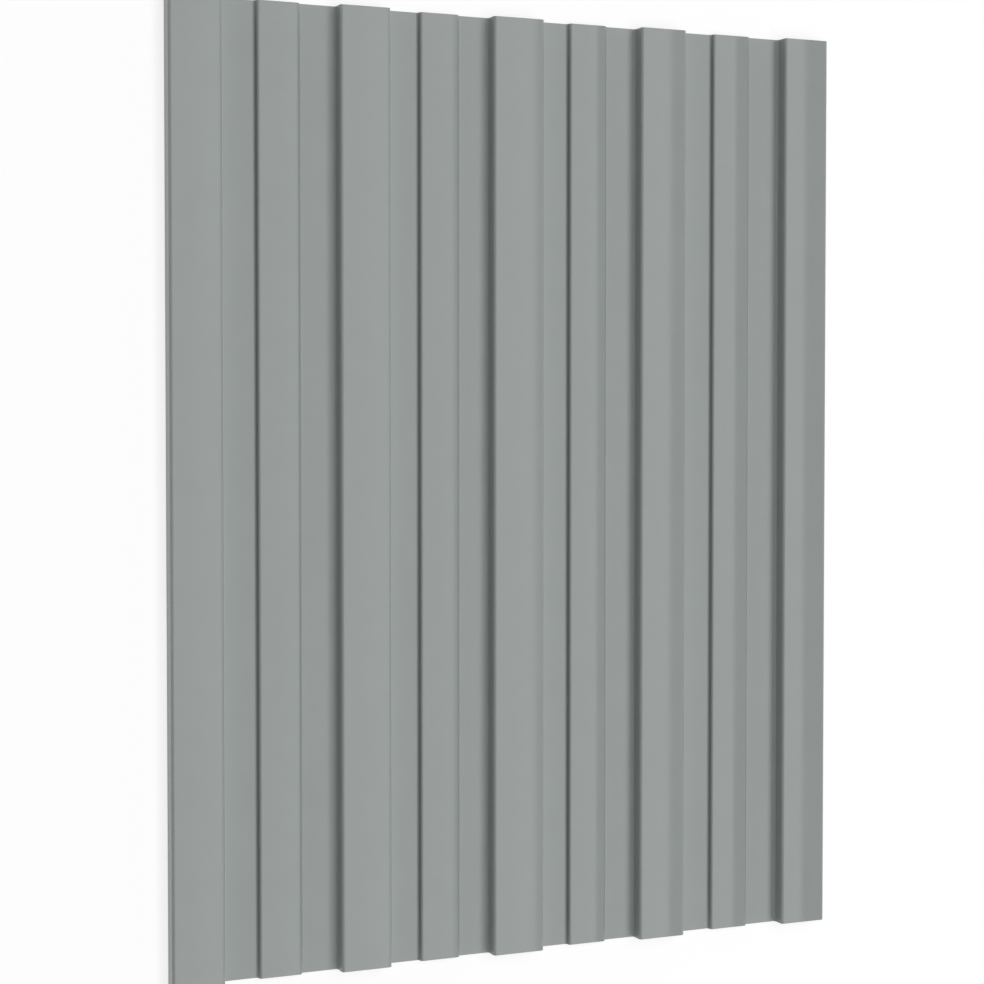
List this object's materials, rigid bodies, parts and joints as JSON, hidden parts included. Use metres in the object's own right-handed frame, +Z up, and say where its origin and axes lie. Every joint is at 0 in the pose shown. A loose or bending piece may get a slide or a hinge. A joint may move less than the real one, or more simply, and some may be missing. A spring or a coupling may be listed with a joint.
{
  "type": "box-rib corrugated metal sheet",
  "caption": "Grey powder-coated steel sheet, roll-formed with tall and low flat-topped ribs in turn along its length and with plain square-cut ends, for small roofs and walls.",
  "frame": {"origin": "middle of the sheet's underside, in the plane that its valleys rest on", "axes": "+X across the sheet, +Y along the ribs, +Z up out of the weather side"},
  "size_m": [0.4506, 0.6, 0.0089],
  "materials": {
    "grey_powder_coat": "satin powder coat with a fine even texture"
  },
  "bodies": {
    "root": {"ribbed_sheet": "grey_powder_coat"}
  },
  "joints": []
}
